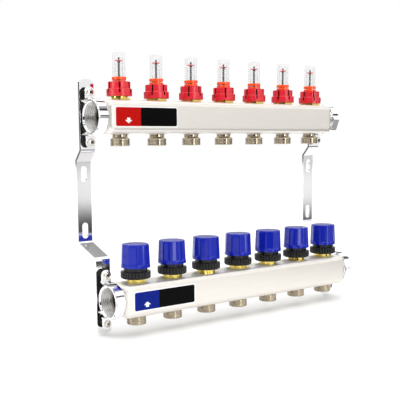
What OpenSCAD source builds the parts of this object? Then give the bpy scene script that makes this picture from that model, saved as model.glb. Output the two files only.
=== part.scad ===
// Underfloor heating manifold: a supply bar with flowmeters above a return bar with hand-cap valves,
// held by two cranked wall brackets. Millimetres. +X runs along the bars, +Y points to the wall and
// +Z points up. The origin is on the wall face of the left bracket, midway between its two slots.

/* [Layout] */
// Distance between neighbouring outlets
outlet_pitch = 50; // [48:1:60]
// Distance from a bracket's middle to the nearest outlet
end_to_outlet = 30; // [30:1:40]
// Height of the supply bar's axis above the wall slots' middle
supply_z = 95; // [90:1:100]
// Depth of the return bar's axis below the wall slots' middle
return_z = -105; // [-115:1:-103]
// Distance from the wall to the supply bar's axis
supply_out = 33; // [33:1:40]
// Distance from the wall to the return bar's axis
return_out = 60; // [55:1:70]

/* [Bars] */
// Height and depth of a bar's section
bar_size = 37; // [36:0.5:40]
// Sheet thickness of a bar
bar_wall = 1.5; // [1:0.1:2]
// Radius of a bar's long edges
bar_edge_r = 6; // [4:0.5:6]
// Radius of the drawn corners at a bar's ends
bar_end_r = 8; // [7:0.5:9]
// Length of an end socket outside the bar
socket_len = 11.5; // [11:0.5:14]
// Radius of the threaded wall in an end socket
socket_bore_r = 15.9; // [15.6:0.05:16.2]
// Depth of the threaded wall in an end socket
thread_len = 15; // [9:0.5:16]

/* [Outlets] */
// Diameter of the outlets' thread
outlet_d = 22; // [21:0.5:24]
// How far the supply outlets hang below the bar
supply_drop = 13.5; // [12:0.5:18]
// How far the return outlets hang below the bar
return_drop = 10.2; // [9:0.5:14]

/* [Flowmeters] */
// Outer radius of a sight tube
tube_r = 7.1; // [6.8:0.1:7.4]
// Height of a sight tube's top above the bar's axis
tube_top = 70; // [66:0.5:74]
// Height of the indicator disc's underside above the bar's axis at no flow
disc_z = 59.6; // [56:0.1:60]
// Outer radius of a collar's lower tier
collar_r = 14.2; // [13.5:0.1:15]
// Outer radius of a collar's upper tier
collar_top_r = 12.4; // [12:0.1:13]
// How far the first collar is screwed up above the others
first_collar_lift = 1.6; // [0:0.1:2]

/* [Valves] */
// Bottom radius of a hand cap
cap_r = 16.4; // [16:0.1:17]
// Top radius of a hand cap
cap_top_r = 15.3; // [14.8:0.1:16]
// Height of a hand cap
cap_h = 26.3; // [24:0.1:30]
// Number of flutes around a hand cap
flute_count = 10; // [8:1:12]
// Number of teeth around a ring nut
tooth_count = 30; // [20:1:36]

/* [Brackets] */
// Width of the bracket strip
strip_w = 18; // [18:1:24]
// Thickness of the bracket strip
strip_t = 3; // [2.5:0.1:3]
// Distance between a bracket's two wall slots
slot_pitch = 64; // [60:1:66]
// Length of a wall slot from end to end
slot_len = 18; // [14:1:20]
// Width of a wall slot
slot_w = 7.2; // [6:0.1:8]
// Distance of a clamp screw from the bar's axis
screw_off = 27.3; // [27:0.1:28]

/* [Hidden] */
CIRCUITS = 7;
MOVING = ["collar", "spring", "indicator", "cap", "stem"];
FIXED = ["supply_bar", "return_bar", "socket_supply_left", "socket_supply_right", "socket_return_left",
    "socket_return_right", "supply_outlets", "return_outlets", "meter_bodies", "sight_tubes",
    "lock_rings", "valve_inserts", "ring_nuts", "cap_necks", "bracket_left", "bracket_right",
    "clamp_straps", "clamp_liners", "clamp_screws", "clamp_nuts", "label_supply", "label_return"];

$fn = 48;
eps = 0.01;
half = bar_size / 2;
right_x = 2 * end_to_outlet + (CIRCUITS - 1) * outlet_pitch;
supply_axis = [0, -supply_out, supply_z];
return_axis = [0, -return_out, return_z];
bar_x0 = 4;
bar_len = right_x - 2 * bar_x0;
mouth_x = bar_x0 - socket_len;

// End sockets: a round nose, an octagon for the clamp and a neck welded into the bar
nose_r = 18.3;
nose_len = 0.8;
oct_apothem = 17;
neck_r = 16.8;
neck_len = 8;
mouth_r = 17.2;
mouth_chamfer = 1;
socket_waist_r = 14;

// Clamps: strap and liner follow the octagon, with one corner to the front
liner_t = 0.6;
strap_t = 1.3;
strap_w = 10.4;
strap_x = mouth_x + nose_len + 0.1 + strap_w / 2;
plate_y = 19.8;
ear_r = 6;
ear_gap = 5.5;
ear_y = plate_y - ear_gap;
screw_r = 2.5;
head_r = 4.3;
head_h = 2.6;
nut_flats = 8;
nut_h = 4;

// The middle line of the bracket strip in the Y-Z plane, top to bottom
strip_top = supply_z + 42;
strip_low = return_z - 40.5;
upper_y = -supply_out + plate_y + strip_t / 2;
lower_y = -return_out + plate_y + strip_t / 2;
wall_y = -strip_t / 2;
crank_top = 58.5;
wall_top = 46.8;
wall_low = -46.3;
crank_low = -60.5;
strip_line = [[upper_y, strip_top], [upper_y, crank_top], [wall_y, wall_top], [wall_y, wall_low],
    [lower_y, crank_low], [lower_y, strip_low]];
bend_r = 3;
bend_steps = 5;
strip_end_r = 13;

// Supply outlets and flowmeters, heights above the bar's axis
outlet_r = outlet_d / 2;
outlet_neck_r = 8.2;
outlet_neck_h = 3.2;
outlet_cone_h = 2.6;
spigot_r = 8;
supply_bore_r = 6.5;
meter_thread_r = 9;
meter_hex_r = 12.8;
meter_hex_h = 2.3;
meter_top = 31;
meter_bore_r = 6;
collar_gap = 0.3;
collar_z0 = half + meter_hex_h + collar_gap;
collar_step_z = 29;
collar_z1 = 36.8;
collar_bore_r = 9.6;
collar_mouth_r = 8.4;
collar_lid_h = 3.2;
rib_count = 6;
rib_w = 4.4;
rib_proud = 0.15;
rib_slot_w = 1.1;
rib_slot_depth = 1.6;
rib_slot_z0 = 25.8;
ring_r = 8;
ring_z0 = collar_z1 + 0.3;
ring_band_h = 2.2;
ring_gap_h = 1.2;
ring_gap_w = 9;
ring_top_z = 43.6;
tube_wall = 2.4;
tube_dome_h = 1.2;
rod_r = 0.95;
rod_top = 65;
rod_low = 4;
disc_r = 4.4;
disc_h = 2.3;
spring_wire = 0.7;
guide_h = 1.5;

// Valves, heights above the bar's axis
return_bore_r = 7.5;
return_spigot_r = 9.5;
return_seat_h = 8.3;
insert_r = 10.2;
hex_r = 11.3;
hex_h = 4.4;
insert_thread_r = 10.6;
insert_top = 30.4;
nut_r = 16.8;
nut_z0 = half + hex_h;
nut_z1 = 30.9;
tooth_depth = 0.7;
cap_neck_r = 13.2;
cap_neck_top = 38;
cap_neck_bore_r = 8;
cap_z0 = 35.2;
cap_wall = 2.2;
cap_lid = 3;
cap_boss_r = 5;
cap_travel = 2.25;
cap_chamfer = 0.9;
flute_depth = 0.6;
flute_r = 7;
flute_z0 = 2;
stem_r = 2;
stem_fit = 0.05;
stem_top = 45;
valve_r = 8.5;
valve_h = 2.4;
valve_z = -7.8;

// Labels
label_len = 84.5;
label_h = 23;
label_t = 0.2;
label_r = 2.7;
label_x0 = 12;
label_shift = 2.8;

BRASS = [0.85, 0.74, 0.42];
STEEL = [0.86, 0.85, 0.82];
CHROME = [0.9, 0.9, 0.91];
NICKEL = [0.7, 0.67, 0.6];

// Puts children at every outlet of the bar whose axis is given.
module at_outlets(axis) {
    for (n = [1:CIRCUITS]) at_outlet(axis, n) children();
}

module at_outlet(axis, n) {
    translate(axis + [end_to_outlet + (n - 1) * outlet_pitch, 0, 0]) children();
}

// Repeats children at both ends of the assembly, the right one mirrored.
module both_ends() {
    children();
    translate([right_x, 0, 0]) mirror([1, 0, 0]) children();
}

// A ring between two radii.
module tube(h, r, hole) {
    difference() {
        cylinder(h = h, r = r);
        translate([0, 0, -1]) cylinder(h = h + 2, r = hole);
    }
}

// A centred rectangle with true round corners.
module rounded(size, r) {
    square([size.x - 2 * r, size.y], center = true);
    square([size.x, size.y - 2 * r], center = true);
    for (x = [-1, 1], y = [-1, 1]) translate([x * (size.x / 2 - r), y * (size.y / 2 - r)]) circle(r);
}

// The pillow form of a bar about its middle: round long edges and drawn end corners.
module bar_form(len, size, edge_r, end_r) {
    intersection() {
        rotate([0, 90, 0]) linear_extrude(len, center = true) rounded([size, size], edge_r);
        linear_extrude(size + 1, center = true) rounded([len, size], end_r);
        rotate([90, 0, 0]) linear_extrude(size + 1, center = true) rounded([len, size], end_r);
    }
}

module bar(axis, top_hole_r, low_hole_r) {
    color(STEEL) difference() {
        translate(axis + [right_x / 2, 0, 0]) difference() {
            bar_form(bar_len, bar_size, bar_edge_r, bar_end_r);
            bar_form(bar_len - 2 * bar_wall, bar_size - 2 * bar_wall,
                bar_edge_r - bar_wall, bar_end_r - bar_wall);
            rotate([0, 90, 0]) cylinder(h = bar_len + 1, r = neck_r, center = true);
        }
        at_outlets(axis) {
            cylinder(h = half + 1, r = top_hole_r);
            translate([0, 0, -half - 1]) cylinder(h = half, r = low_hole_r);
        }
    }
}

// An end socket, with its mouth to the left, on the axis given.
module socket(axis) {
    color(CHROME) translate(axis + [mouth_x, 0, 0]) rotate([0, 90, 0]) difference() {
        union() {
            cylinder(h = nose_len, r = nose_r);
            translate([0, 0, nose_len])
                cylinder(h = socket_len - nose_len, r = octagon_r(oct_apothem), $fn = 8);
            translate([0, 0, socket_len]) cylinder(h = neck_len, r = neck_r);
        }
        translate([0, 0, -eps]) cylinder(h = mouth_chamfer + eps, r1 = mouth_r, r2 = socket_bore_r);
        cylinder(h = thread_len, r = socket_bore_r);
        cylinder(h = socket_len + neck_len + 1, r = socket_waist_r);
    }
}

function octagon_r(apothem) = apothem / cos(22.5);

module at_right_end() {
    translate([right_x, 0, 0]) mirror([1, 0, 0]) children();
}

module supply_outlets() {
    cone_z = -half - outlet_neck_h - outlet_cone_h;
    low_z = -half - supply_drop;
    color(NICKEL) at_outlets(supply_axis) difference() {
        union() {
            translate([0, 0, -half]) cylinder(h = bar_wall, r = spigot_r);
            translate([0, 0, -half + bar_wall]) cylinder(h = 1.5, r = spigot_r + 1.5);
            translate([0, 0, -half - 0.8]) cylinder(h = 0.8, r = spigot_r + 1.5);
            translate([0, 0, -half - outlet_neck_h]) cylinder(h = outlet_neck_h, r = outlet_neck_r);
            translate([0, 0, cone_z]) cylinder(h = outlet_cone_h, r1 = outlet_r, r2 = outlet_neck_r);
            translate([0, 0, low_z]) cylinder(h = cone_z - low_z, r = outlet_r);
        }
        translate([0, 0, low_z - 1]) cylinder(h = supply_drop + 6, r = supply_bore_r);
    }
}

module return_outlets() {
    low_z = -half - return_drop;
    color(NICKEL) at_outlets(return_axis) difference() {
        union() {
            translate([0, 0, low_z]) cylinder(h = return_drop, r = outlet_r);
            translate([0, 0, -half]) cylinder(h = return_seat_h, r = return_spigot_r);
        }
        translate([0, 0, low_z - 1]) cylinder(h = return_drop + return_seat_h + 2, r = return_bore_r);
    }
}

module meter_bodies() {
    color(BRASS) at_outlets(supply_axis) difference() {
        union() {
            translate([0, 0, half - bar_wall - 4]) cylinder(h = bar_wall + 4, r = meter_thread_r);
            translate([0, 0, half]) cylinder(h = meter_hex_h, r = meter_hex_r, $fn = 6);
            translate([0, 0, half]) cylinder(h = meter_top - half, r = meter_thread_r);
        }
        translate([0, 0, half - 7]) cylinder(h = meter_top - half + 7 - guide_h, r = meter_bore_r);
        cylinder(h = meter_top + 1, r = rod_r + stem_fit);
    }
}

// A sight tube stands on its meter body and is closed by a shallow dome.
module sight_tubes() {
    side_top = tube_top - tube_dome_h;
    inner_r = tube_r - tube_wall;
    color([0.93, 0.95, 0.95, 0.35]) at_outlets(supply_axis) difference() {
        union() {
            cylinder_between(meter_top, side_top, tube_r);
            translate([0, 0, side_top]) cylinder(h = tube_dome_h, r1 = tube_r, r2 = tube_r - tube_dome_h);
        }
        cylinder_between(meter_top - 1, tube_top - tube_wall, inner_r);
    }
}

// A lock ring: two thin bands joined by two posts.
module lock_rings() {
    gap_z = ring_z0 + ring_band_h;
    color([1, 0.3, 0.05]) at_outlets(supply_axis) difference() {
        translate([0, 0, ring_z0]) tube(ring_top_z - ring_z0, ring_r, tube_r);
        for (side = [-1, 1]) translate([0, side * ring_r, gap_z + ring_gap_h / 2])
            cube([ring_gap_w, ring_gap_w, ring_gap_h], center = true);
    }
}

// A setting collar: two tiers, with a slot in each of its raised ribs.
module collar(n) {
    top_z = collar_z1 - 0.6;
    lift = [0, 0, n == 1 ? first_collar_lift : 0];
    color([0.88, 0.13, 0.18]) at_outlet(supply_axis + lift, n) difference() {
        union() {
            translate([0, 0, collar_z0]) cylinder(h = collar_step_z - collar_z0, r = collar_r);
            cylinder_between(collar_step_z, top_z, collar_top_r);
            translate([0, 0, top_z]) cylinder(h = 0.6, r1 = collar_top_r, r2 = collar_top_r - 0.6);
            for (k = [0:rib_count - 1]) rotate(k * 360 / rib_count) {
                rib(collar_r + rib_proud, rib_w, collar_z0 + 0.6, collar_step_z - 0.3);
                rib(collar_top_r + rib_proud, rib_w, collar_step_z - 0.3, top_z);
            }
        }
        translate([0, 0, collar_z0 - 1])
            cylinder(h = collar_z1 - collar_lid_h - collar_z0 + 1, r = collar_bore_r);
        cylinder_between(collar_z0, collar_z1 + 1, collar_mouth_r);
        for (k = [0:rib_count - 1]) rotate(k * 360 / rib_count)
            translate([collar_top_r - rib_slot_depth, -rib_slot_w / 2, rib_slot_z0])
                cube([collar_r, rib_slot_w, top_z - 0.5 - rib_slot_z0]);
    }
}

module cylinder_between(z0, z1, r) {
    translate([0, 0, z0]) cylinder(h = z1 - z0, r = r);
}

// A flat-faced rib that stands just proud of a drum.
module rib(out, w, z0, z1) {
    translate([out - 3, -w / 2, z0]) cube([3, w, z1 - z0]);
}

module indicator(n) {
    color([0.2, 0.2, 0.2]) at_outlet(supply_axis, n) {
        cylinder_between(rod_low, rod_top, rod_r);
        cylinder_between(rod_low, rod_low + 2, disc_r + 0.6);
    }
    color([0.8, 0.15, 0.12]) at_outlet(supply_axis, n) cylinder_between(disc_z, disc_z + disc_h, disc_r);
}

// A spring's outer form: the coil itself is too fine for an exact solid.
module spring(n) {
    color([0.35, 0.35, 0.36]) at_outlet(supply_axis, n) translate([0, 0, meter_top])
        tube(disc_z - meter_top, rod_r + 0.15 + spring_wire, rod_r + 0.15);
}

module valve_inserts() {
    color(BRASS) at_outlets(return_axis) difference() {
        union() {
            cylinder_between(half - bar_wall - 4, half, insert_r);
            translate([0, 0, half]) cylinder(h = hex_h, r = hex_r, $fn = 6);
            cylinder_between(nut_z0, insert_top, insert_thread_r);
        }
        cylinder_between(half - 7, insert_top + 1, stem_r + stem_fit);
        cylinder_between(half - 7, half, insert_r - 2);
    }
}

// Points of a toothed outline: two at the crest and two at the root of each tooth.
function toothed(count, r, depth) = [
    for (k = [0:4 * count - 1])
        let (a = k * 90 / count, here = (k % 4 < 2) ? r : r - depth) here * [cos(a), sin(a)]];

module ring_nuts() {
    edge = 1;
    color([0.07, 0.07, 0.08]) at_outlets(return_axis) difference() {
        intersection() {
            translate([0, 0, nut_z0]) linear_extrude(nut_z1 - nut_z0)
                polygon(toothed(tooth_count, nut_r, tooth_depth));
            union() {
                translate([0, 0, nut_z0]) cylinder(h = edge, r1 = nut_r - edge, r2 = nut_r + eps);
                cylinder_between(nut_z0 + edge, nut_z1, nut_r + 1);
            }
        }
        cylinder_between(nut_z0 - 1, nut_z1 + 1, insert_thread_r);
    }
}

module cap_necks() {
    color([0.08, 0.08, 0.09]) at_outlets(return_axis)
        translate([0, 0, nut_z1]) tube(cap_neck_top - nut_z1, cap_neck_r, cap_neck_bore_r);
}

// A hand cap: a tapered cup with shallow flutes and a middle boss that bears on the stem.
module cap(n) {
    top_z = cap_z0 + cap_h;
    side_z = top_z - cap_chamfer;
    inner_r = cap_top_r - cap_wall;
    taper = atan((cap_r - cap_top_r) / (side_z - cap_z0));
    color([0.1, 0.16, 0.65]) at_outlet(return_axis, n) difference() {
        union() {
            translate([0, 0, cap_z0]) cylinder(h = side_z - cap_z0, r1 = cap_r, r2 = cap_top_r);
            translate([0, 0, side_z]) cylinder(h = cap_chamfer, r1 = cap_top_r, r2 = cap_top_r - cap_chamfer);
        }
        difference() {
            union() {
                cylinder_between(cap_z0 - 1, top_z - cap_lid, inner_r);
                cylinder_between(cap_z0 - 1, cap_neck_top + cap_travel + 0.6, cap_neck_r + 0.7);
            }
            cylinder_between(stem_top, top_z, cap_boss_r);
        }
        for (k = [0:flute_count - 1]) rotate((k + 0.5) * 360 / flute_count)
            translate([cap_r + flute_r - flute_depth, 0, cap_z0]) rotate([0, -taper, 0])
                translate([0, 0, flute_z0]) cylinder(h = cap_h + 2, r = flute_r);
    }
}

module stem(n) {
    color(BRASS) at_outlet(return_axis, n) {
        cylinder_between(valve_z, stem_top, stem_r);
        cylinder_between(valve_z, valve_z + valve_h, valve_r);
    }
}

// Unit normal, to the left of the way from a to b.
function left_of(a, b) = let (d = (b - a) / norm(b - a)) [-d.y, d.x];

// Replaces each inner corner of a line by points on an arc of radius r.
function bent(line, r) = [
    line[0],
    for (k = [1:len(line) - 2])
        let (u = left_of(line[k - 1], line[k]), v = left_of(line[k], line[k + 1]),
            turn = u.x * v.y - u.y * v.x, side = turn > 0 ? 1 : -1,
            bisector = (u + v) / norm(u + v), reach = r / (bisector * u),
            middle = line[k] + side * reach * bisector)
        for (s = [0:bend_steps])
            let (w = u + (v - u) * s / bend_steps) middle - side * r * w / norm(w),
    line[len(line) - 1]];

// The outline of a strip of thickness t about a line.
function strip_outline(line, t) =
    let (last = len(line) - 1,
        normals = [for (k = [0:last])
            let (u = left_of(line[max(k - 1, 0)], line[max(k, 1)]),
                v = left_of(line[min(k, last - 1)], line[min(k + 1, last)]),
                m = (u + v) / norm(u + v)) m / (m * u)])
    concat([for (k = [0:last]) line[k] + normals[k] * t / 2],
        [for (k = [last:-1:0]) line[k] - normals[k] * t / 2]);

// Front view of the strip: straight sides with a wide arc at each end.
module strip_front() {
    intersection() {
        translate([-strip_w / 2, strip_low]) square([strip_w, strip_top - strip_low]);
        strip_ends(strip_end_r);
    }
}

module strip_ends(r) {
    translate([0, strip_top - r]) circle(r);
    translate([0, strip_low + r]) circle(r);
    translate([-r, strip_low + r]) square([2 * r, strip_top - strip_low - 2 * r]);
}

module bracket() {
    color(CHROME) difference() {
        intersection() {
            rotate([90, 0, 90]) linear_extrude(strip_w, center = true)
                polygon(strip_outline(bent(strip_line, bend_r), strip_t));
            rotate([90, 0, 0]) linear_extrude(2 * return_out, center = true) strip_front();
        }
        for (side = [-1, 1]) translate([0, 0, side * slot_pitch / 2]) wall_slot();
        for (axis = [supply_axis, return_axis], side = [-1, 1])
            translate(axis + [0, 0, side * screw_off]) rotate([-90, 0, 0])
                cylinder(h = plate_y + strip_t + 1, r = screw_r);
    }
}

module wall_slot() {
    straight = slot_len - slot_w;
    translate([0, 1, 0]) rotate([90, 0, 0]) {
        for (side = [-1, 1]) translate([0, side * straight / 2, 0]) cylinder(h = strip_t + 2, r = slot_w / 2);
        translate([-slot_w / 2, -straight / 2, 0]) cube([slot_w, straight, strip_t + 2]);
    }
}

// An octagonal rod along the bar's axis, with one corner to the front.
module octagon(apothem, w) {
    rotate([0, 90, 0]) cylinder(h = w, r = octagon_r(apothem), center = true, $fn = 8);
}

// The bow's form: an octagon in front and a box behind that reaches back to the ears.
module bow_form(apothem, w) {
    octagon(apothem, w);
    translate([-w / 2, 0, -octagon_r(apothem)]) cube([w, ear_y, 2 * octagon_r(apothem)]);
}

// A strap: an octagonal bow over the socket with an ear above and below.
module clamp_straps() {
    inner = oct_apothem + liner_t;
    ear_z0 = octagon_r(inner);
    color(CHROME) both_ends() for (axis = [supply_axis, return_axis])
        translate(axis + [strap_x, 0, 0]) difference() {
            union() {
                bow_form(inner + strap_t, strap_w);
                for (side = [-1, 1]) strap_ear(side, ear_z0);
            }
            bow_form(inner, strap_w + 1);
            translate([-strap_w, ear_y, -bar_size]) cube([2 * strap_w, strap_w, 2 * bar_size]);
            for (side = [-1, 1]) translate([-strap_x, 0, side * screw_off]) rotate([-90, 0, 0])
                cylinder(h = plate_y + 1, r = screw_r);
        }
}

module strap_ear(side, z0) {
    rotate([-90, 0, 0]) translate([-strap_x, 0, ear_y - strap_t]) {
        translate([0, -side * screw_off, 0]) cylinder(h = strap_t, r = ear_r);
        translate([-ear_r, min(-side * screw_off, -side * z0), 0]) cube([2 * ear_r, screw_off - z0, strap_t]);
    }
}

module clamp_liners() {
    color([0.12, 0.12, 0.12]) both_ends() for (axis = [supply_axis, return_axis])
        translate(axis + [strap_x, 0, 0]) difference() {
            octagon(oct_apothem + liner_t, strap_w);
            octagon(oct_apothem, strap_w + 1);
        }
}

// A pan-head screw with a cross recess, its head to the front.
module clamp_screws() {
    recess_w = 1.1;
    color(CHROME) both_ends() for (axis = [supply_axis, return_axis], side = [-1, 1])
        translate(axis + [0, ear_y - strap_t, side * screw_off]) rotate([90, 0, 0]) difference() {
            union() {
                cylinder_between(-strap_t - ear_gap - strip_t - nut_h, 0, screw_r);
                cylinder(h = head_h - 1, r = head_r);
                translate([0, 0, head_h - 1]) cylinder(h = 1, r1 = head_r, r2 = head_r - 1.3);
            }
            for (turn = [45, 135]) rotate(turn) translate([-2.3, -recess_w / 2, head_h - 1.5])
                cube([4.6, recess_w, 2]);
        }
}

module clamp_nuts() {
    color(CHROME) both_ends() for (axis = [supply_axis, return_axis], side = [-1, 1])
        translate(axis + [0, plate_y + strip_t, side * screw_off]) rotate([-90, 0, 0]) difference() {
            cylinder(h = nut_h, r = nut_flats / 2 / cos(30), $fn = 6);
            translate([0, 0, -1]) cylinder(h = nut_h + 2, r = screw_r);
        }
}

// A label on the bar's front: a coloured field with an arrow, then a black field, within a white edge.
module label(axis, x0, tint) {
    translate(axis + [x0 + label_len / 2, -half, 0]) rotate([90, 0, 0])
        color(tint) linear_extrude(label_t) rounded([label_len, label_h], label_r);
}

module label_supply() { label(supply_axis, label_x0, [0.75, 0.05, 0.04]); }
module label_return() { label(return_axis, label_x0 + label_shift, [0.04, 0.1, 0.5]); }

bar(supply_axis, meter_thread_r, spigot_r);  // supply_bar
bar(return_axis, insert_r, return_spigot_r);  // return_bar
socket(supply_axis);  // socket_supply_left
at_right_end() socket(supply_axis);  // socket_supply_right
socket(return_axis);  // socket_return_left
at_right_end() socket(return_axis);  // socket_return_right
supply_outlets();
return_outlets();
meter_bodies();
sight_tubes();
lock_rings();
valve_inserts();
ring_nuts();
cap_necks();
bracket();  // bracket_left
at_right_end() bracket();  // bracket_right
clamp_straps();
clamp_liners();
clamp_screws();
clamp_nuts();
label_supply();
label_return();
for (n = [1:CIRCUITS]) {
    collar(n);
    spring(n);
    indicator(n);
    cap(n);
    stem(n);
}
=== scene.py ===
import math
from functools import partial

import bmesh
import bpy
from mathutils import Matrix, Vector


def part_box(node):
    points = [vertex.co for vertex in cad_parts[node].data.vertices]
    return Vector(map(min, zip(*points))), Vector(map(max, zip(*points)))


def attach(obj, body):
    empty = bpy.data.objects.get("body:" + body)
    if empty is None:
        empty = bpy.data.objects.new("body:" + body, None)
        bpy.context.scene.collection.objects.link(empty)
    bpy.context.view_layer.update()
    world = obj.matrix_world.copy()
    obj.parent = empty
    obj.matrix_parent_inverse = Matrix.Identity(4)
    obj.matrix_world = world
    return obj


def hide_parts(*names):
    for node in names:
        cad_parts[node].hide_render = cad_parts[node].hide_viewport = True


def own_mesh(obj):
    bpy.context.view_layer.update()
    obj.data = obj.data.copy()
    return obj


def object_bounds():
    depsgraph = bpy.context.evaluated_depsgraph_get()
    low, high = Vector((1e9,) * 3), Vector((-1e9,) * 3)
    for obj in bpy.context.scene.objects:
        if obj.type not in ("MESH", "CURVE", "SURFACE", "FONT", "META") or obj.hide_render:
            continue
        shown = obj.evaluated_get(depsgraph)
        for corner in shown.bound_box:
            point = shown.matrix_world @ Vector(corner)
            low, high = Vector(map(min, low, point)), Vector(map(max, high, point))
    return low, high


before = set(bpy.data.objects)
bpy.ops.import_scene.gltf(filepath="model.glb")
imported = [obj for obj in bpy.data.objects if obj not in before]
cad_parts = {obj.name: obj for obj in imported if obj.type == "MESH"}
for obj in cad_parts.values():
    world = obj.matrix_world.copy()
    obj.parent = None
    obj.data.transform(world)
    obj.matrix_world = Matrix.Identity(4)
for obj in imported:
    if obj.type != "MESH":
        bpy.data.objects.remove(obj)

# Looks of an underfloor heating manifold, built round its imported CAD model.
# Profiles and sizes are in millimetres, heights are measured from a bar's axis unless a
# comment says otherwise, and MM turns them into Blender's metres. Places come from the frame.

MM = 0.001
CAD_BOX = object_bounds()
CIRCUITS = sorted(int(n.split("_")[1]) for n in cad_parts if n.startswith("collar_"))
FIXED = "manifold"

# Bars, in the CAD model's own sizes
HALF = 18.5
WALL = 1.5
EDGE_R = 6
END_R = 8
NECK_R = 16.8


# ---------------------------------------------------------------- places

def middle(node):
    low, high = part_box(node)
    return (low + high) / 2


def on_axis(bar, moving):
    """Where a moving node's own centre line crosses the axis of its bar."""
    spot, bar_mid = middle(moving), middle(bar)
    return Vector((spot.x, bar_mid.y, bar_mid.z))


SUPPLY = {n: on_axis("supply_bar", f"indicator_{n}") for n in CIRCUITS}
RETURN = {n: on_axis("return_bar", f"stem_{n}") for n in CIRCUITS}
ENDS = [(f"{bar}_{side}", bar, side) for bar in ("supply", "return") for side in ("left", "right")]


def end_spot(bar, side):
    """The middle of a socket's mouth, and the turn that points its mesh into the bar."""
    low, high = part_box(f"socket_{bar}_{side}")
    spot = (low + high) / 2
    spot.x = low.x if side == "left" else high.x
    return spot, Matrix.Rotation(math.radians(90 if side == "left" else -90), 4, "Y")


# ---------------------------------------------------------------- mesh building

def solid(name, verts, faces, sharp=40):
    """A mesh from points in millimetres, with smooth shading between its sharp edges."""
    mesh = bpy.data.meshes.new(name)
    mesh.from_pydata([Vector(v) * MM for v in verts], [], faces)
    bm = bmesh.new()
    bm.from_mesh(mesh)
    bmesh.ops.remove_doubles(bm, verts=bm.verts, dist=2e-6)
    bmesh.ops.dissolve_degenerate(bm, edges=bm.edges, dist=1e-7)
    bmesh.ops.recalc_face_normals(bm, faces=bm.faces)
    bm.to_mesh(mesh)
    bm.free()
    mesh.shade_smooth()
    mesh.set_sharp_from_angle(angle=math.radians(sharp))
    return mesh


def loft(rings, closed=False):
    """Points and faces of a skin over rings of equal length; closed joins the last to the first."""
    n = len(rings[0])
    verts = [p for ring in rings for p in ring]
    faces = []
    for a in range(len(rings) - 1 + closed):
        b = (a + 1) % len(rings)
        for k in range(n):
            m = (k + 1) % n
            faces.append((a * n + k, a * n + m, b * n + m, b * n + k))
    if not closed:
        faces.append(tuple(range(n)))
        faces.append(tuple(range(len(verts) - n, len(verts))))
    return verts, faces


def joined(*parts):
    """Several (points, faces) pairs as one."""
    verts, faces = [], []
    for part_verts, part_faces in parts:
        base = len(verts)
        verts += part_verts
        faces += [tuple(base + k for k in face) for face in part_faces]
    return verts, faces


def eased(points, r, steps=3):
    """A closed profile with each corner rounded, by r or as far as its sides allow."""
    out = []
    for k, point in enumerate(points):
        p = Vector(point)
        u = Vector(points[k - 1]) - p
        v = Vector(points[(k + 1) % len(points)]) - p
        reach = min(r, 0.4 * u.length, 0.4 * v.length)
        a, b = p + u.normalized() * reach, p + v.normalized() * reach
        for s in range(steps + 1):
            t = s / steps
            out.append(tuple(a * (1 - t) ** 2 + p * 2 * t * (1 - t) + b * t * t))
    return out


def turned(profile, segments=64, shape=None, closed=True):
    """A profile of (radius, height) turned round Z. shape(r, z, angle) may change a radius."""
    rings = []
    for r, z in profile:
        ring = []
        for k in range(segments):
            a = 2 * math.pi * k / segments
            q = shape(r, z, a) if shape else r
            ring.append((q * math.cos(a), q * math.sin(a), z))
        rings.append(ring)
    return loft(rings, closed)


def band(outline, z0, z1):
    """A slab between two heights over an outline of (radius, angle)."""
    return loft([[(r * math.cos(a), r * math.sin(a), z) for r, a in outline] for z in (z0, z1)])


def steps_between(z0, z1, step):
    """Heights from z0 to z1, about step apart."""
    count = max(2, round(abs(z1 - z0) / step))
    return [z0 + (z1 - z0) * k / count for k in range(count + 1)]


def thread_wave(z, a, pitch):
    """0 at a thread's crest and 1 at its root, on a helix."""
    turn = (z / pitch + a / (2 * math.pi)) % 1
    return 1 - abs(2 * turn - 1)


def polygon_radius(a, sides, apothem, corner_r):
    """Radius at angle a of a polygon with a corner at angle 0, its corners cut at corner_r."""
    step = 2 * math.pi / sides
    off = (a % step) - step / 2
    return min(apothem / math.cos(off), corner_r)


def tube_along(points, r, sides=8):
    """A round wire along points, closed at both ends."""
    rings = []
    for k, p in enumerate(points):
        ahead = Vector(points[min(k + 1, len(points) - 1)]) - Vector(points[max(k - 1, 0)])
        ahead.normalize()
        u = ahead.orthogonal() if not rings else (u - ahead * u.dot(ahead))
        u.normalize()
        v = ahead.cross(u)
        ring = []
        for s in range(sides):
            a = 2 * math.pi * s / sides
            ring.append(tuple(Vector(p) + r * (math.cos(a) * u + math.sin(a) * v)))
        rings.append(ring)
    return loft(rings)


# ---------------------------------------------------------------- pieces

def piece(name, mesh, at, body, nodes=(), turn=None):
    """Puts a mesh, turned if need be, at a place, to ride on a body and stand for CAD nodes."""
    if turn:
        mesh = mesh.copy()
        mesh.transform(turn)
    obj = bpy.data.objects.new(name, mesh)
    bpy.context.scene.collection.objects.link(obj)
    obj.matrix_world = Matrix.Translation(at)
    normals = obj.modifiers.new("even_normals", "WEIGHTED_NORMAL")
    normals.keep_sharp = True
    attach(obj, body)
    if nodes:
        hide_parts(*nodes)
    return obj


def dressed(mesh, *materials):
    for m in materials:
        mesh.materials.append(m)
    return mesh


# ---------------------------------------------------------------- materials

def mixed(nodes, links, factor, dark, light):
    mix = nodes.new("ShaderNodeMix")
    mix.data_type = "RGBA"
    mix.inputs[6].default_value = (*dark, 1)
    mix.inputs[7].default_value = (*light, 1)
    links.new(factor, mix.inputs[0])
    return mix.outputs[2]


def spread(nodes, links, value, low, high):
    spot = nodes.new("ShaderNodeMapRange")
    spot.inputs["From Min"].default_value = 0.25
    spot.inputs["From Max"].default_value = 0.75
    spot.inputs["To Min"].default_value = low
    spot.inputs["To Max"].default_value = high
    links.new(value, spot.inputs["Value"])
    return spot.outputs["Result"]


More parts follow.
